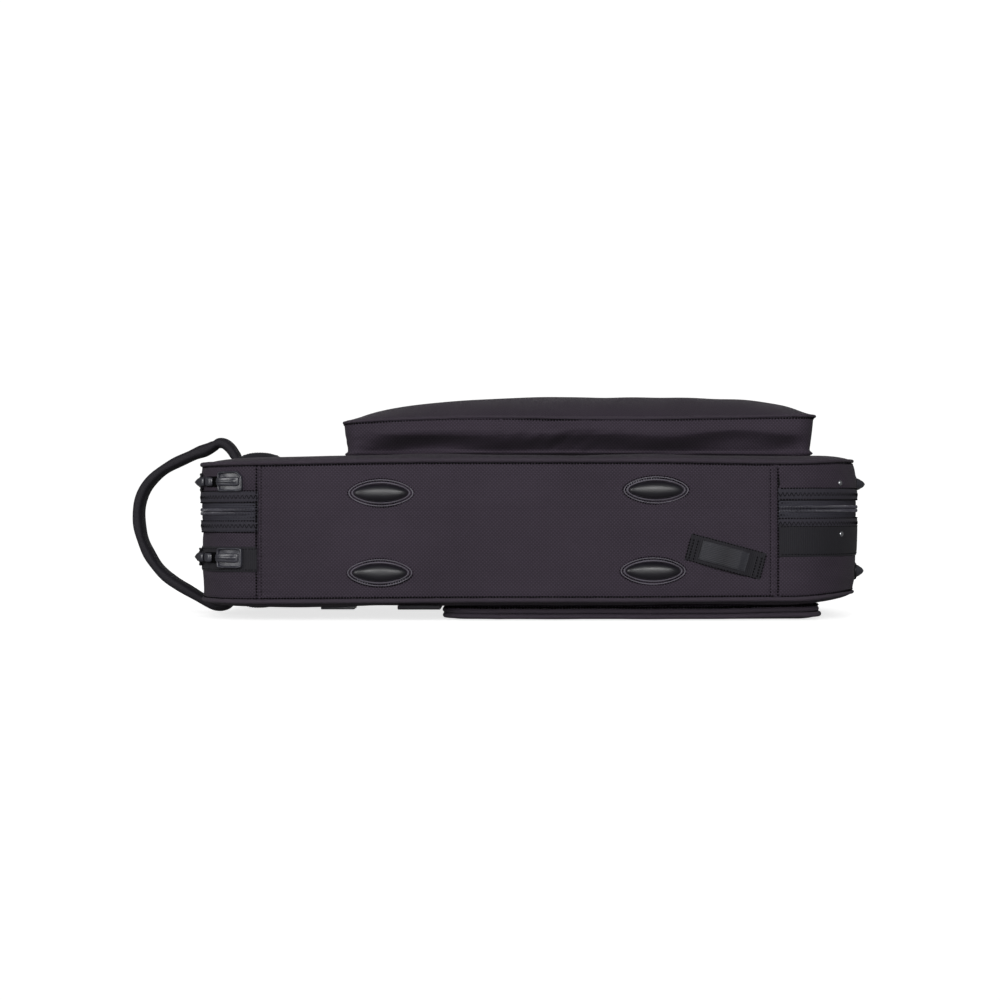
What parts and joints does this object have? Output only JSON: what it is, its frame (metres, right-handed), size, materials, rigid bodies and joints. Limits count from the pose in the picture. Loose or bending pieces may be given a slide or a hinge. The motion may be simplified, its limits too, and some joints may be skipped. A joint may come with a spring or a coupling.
{
  "type": "soft-sided flight case",
  "caption": "Zip-round soft-sided flight case with board-stiffened halves, front and back pockets, oval feet, an end loop and strap rings.",
  "frame": {"origin": "middle of the footprint's bounding box, on the surface that the case lies on", "axes": "+X along the case away from the end loop, +Y from the underside with the feet to the top with the carry handle, +Z from the back pocket to the front pocket"},
  "size_m": [0.7776, 0.3262, 0.233],
  "materials": {
    "nylon": "ballistic nylon, matt with a faint weave sheen",
    "webbing": "woven polyester webbing, matt",
    "gloss": "moulded black plastic, satin gloss",
    "zip": "woven zip tape with a nylon coil",
    "lining": "brushed lining bonded to foam",
    "board": "thin laminated board",
    "metal": "black lacquered zinc and steel"
  },
  "bodies": {
    "base": {"base_frame": "board", "base_lining": "lining", "base_gusset_cover": "nylon", "base_bottom_cover": "nylon", "back_panel_cover": "nylon", "back_piping": "nylon", "base_zip_stringer": "zip", "back_pocket_panel": "nylon", "back_pocket_piping": "nylon", "back_pocket_gusset": "nylon", "back_pocket_zip": "zip", "foot_base_left": "gloss", "foot_surround_base_left": "gloss", "foot_base_right": "gloss", "foot_surround_base_right": "gloss", "webbing_belt": "webbing", "strap_anchor_base_left": "gloss", "strap_anchor_base_right": "gloss", "handle_bracket_left": "gloss", "handle_bracket_right": "gloss", "end_loop": "webbing", "loop_patch_back": "webbing", "bottom_tab": "webbing", "back_webbing_band": "webbing", "back_strap_slide": "gloss", "rivet_base": "metal"},
    "lid": {"lid_frame": "board", "lid_lining": "lining", "lid_gusset_cover": "nylon", "lid_bottom_cover": "nylon", "front_panel_cover": "nylon", "front_piping": "nylon", "lid_zip_stringer": "zip", "front_pocket_gusset": "nylon", "front_pocket_piping": "nylon", "front_pocket_panel": "nylon", "front_pocket_zip": "zip", "foot_lid_left": "gloss", "foot_surround_lid_left": "gloss", "foot_lid_right": "gloss", "foot_surround_lid_right": "gloss", "strap_anchor_lid_left": "gloss", "strap_anchor_lid_right": "gloss", "end_loop_tail": "webbing", "loop_patch_front": "webbing", "rivet_lid": "metal"},
    "zip_left_slider": {"zip_left_slider": "metal"},
    "zip_left_pull": {"zip_left_pull": "metal"},
    "zip_right_slider": {"zip_right_slider": "metal"},
    "zip_right_pull": {"zip_right_pull": "metal"},
    "front_pocket_zip_slider": {"front_pocket_zip_slider": "metal"},
    "front_pocket_zip_pull": {"front_pocket_zip_pull": "metal"},
    "back_pocket_zip_slider": {"back_pocket_zip_slider": "metal"},
    "back_pocket_zip_pull": {"back_pocket_zip_pull": "metal"},
    "strap_ring_base_left": {"strap_ring_base_left": "metal"},
    "strap_ring_lid_left": {"strap_ring_lid_left": "metal"},
    "strap_ring_base_right": {"strap_ring_base_right": "metal"},
    "strap_ring_lid_right": {"strap_ring_lid_right": "metal"},
    "carry_handle": {"carry_handle": "gloss"}
  },
  "joints": [
    {"name": "lid_hinge", "type": "hinge", "parent": "base", "child": "lid", "pos_m": [0.00442, -0.15535, 0.112], "axis": [1, 0, 0], "range_deg": [0, 95]},
    {"name": "zip_left_slide", "type": "slide", "parent": "base", "child": "zip_left_slider", "axis": [1, 0, 0], "range_m": [-0.33, 0]},
    {"name": "zip_left_pull_hinge", "type": "hinge", "parent": "zip_left_slider", "child": "zip_left_pull", "pos_m": [0.13442, 0.14985, 0.112], "axis": [0, 0, -1], "range_deg": [0, 90]},
    {"name": "zip_right_slide", "type": "slide", "parent": "base", "child": "zip_right_slider", "axis": [1, 0, 0], "range_m": [0, 0.1]},
    {"name": "zip_right_pull_hinge", "type": "hinge", "parent": "zip_right_slider", "child": "zip_right_pull", "pos_m": [0.16042, 0.14985, 0.112], "axis": [0, 0, 1], "range_deg": [0, 90]},
    {"name": "front_pocket_zip_slide", "type": "slide", "parent": "lid", "child": "front_pocket_zip_slider", "axis": [1, 0, 0], "range_m": [0, 0.36]},
    {"name": "front_pocket_pull_hinge", "type": "hinge", "parent": "front_pocket_zip_slider", "child": "front_pocket_zip_pull", "pos_m": [-0.11358, 0.11601, 0.188], "axis": [0, 0, 1], "range_deg": [0, 150]},
    {"name": "back_pocket_zip_slide", "type": "slide", "parent": "base", "child": "back_pocket_zip_slider", "axis": [1, 0, 0], "range_m": [0, 0.28]},
    {"name": "back_pocket_pull_hinge", "type": "hinge", "parent": "back_pocket_zip_slider", "child": "back_pocket_zip_pull", "pos_m": [-0.01158, 0.11193, 0.0116], "axis": [0, 0, 1], "range_deg": [0, 150]},
    {"name": "carry_handle_hinge", "type": "hinge", "parent": "base", "child": "carry_handle", "pos_m": [0.03742, 0.15615, 0.07304], "axis": [1, 0, 0], "range_deg": [0, 165]},
    {"name": "ring_base_left_hinge", "type": "hinge", "parent": "base", "child": "strap_ring_base_left", "pos_m": [-0.30099, -0.12432, 0.064], "axis": [0, 0, 1], "range_deg": [0, 120]},
    {"name": "ring_lid_left_hinge", "type": "hinge", "parent": "lid", "child": "strap_ring_lid_left", "pos_m": [-0.29914, -0.12332, 0.1406], "axis": [0, 0, 1], "range_deg": [0, 120]},
    {"name": "ring_base_right_hinge", "type": "hinge", "parent": "base", "child": "strap_ring_base_right", "pos_m": [0.38202, -0.0538, 0.048], "axis": [0, 0, 1], "range_deg": [0, 120]},
    {"name": "ring_lid_right_hinge", "type": "hinge", "parent": "lid", "child": "strap_ring_lid_right", "pos_m": [0.38202, -0.0538, 0.139], "axis": [0, 0, 1], "range_deg": [0, 120]}
  ]
}
